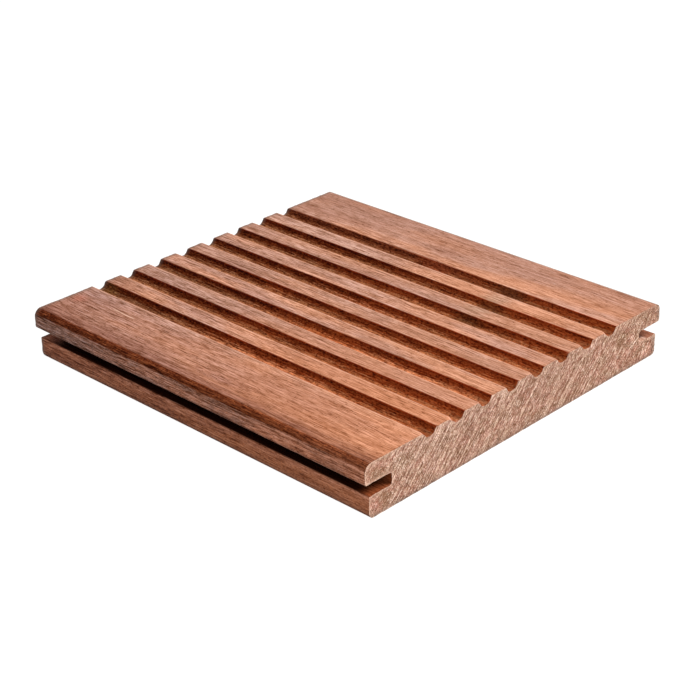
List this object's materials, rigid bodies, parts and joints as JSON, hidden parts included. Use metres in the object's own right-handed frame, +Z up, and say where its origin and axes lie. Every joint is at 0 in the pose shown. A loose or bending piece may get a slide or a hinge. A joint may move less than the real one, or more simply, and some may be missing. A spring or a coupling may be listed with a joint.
{
  "type": "decking board",
  "caption": "Short length of a bamboo decking board with a grooved walking face, rounded edges and a clip slot along each side.",
  "frame": {"origin": "middle of the underside, on the surface that the board lies on", "axes": "+X along the grooves, +Y across the board, +Z up out of the grooved face"},
  "size_m": [0.164, 0.155, 0.02],
  "materials": {
    "strand_bamboo": "oiled, brushed grain"
  },
  "bodies": {
    "root": {"decking_board": "strand_bamboo"}
  },
  "joints": []
}
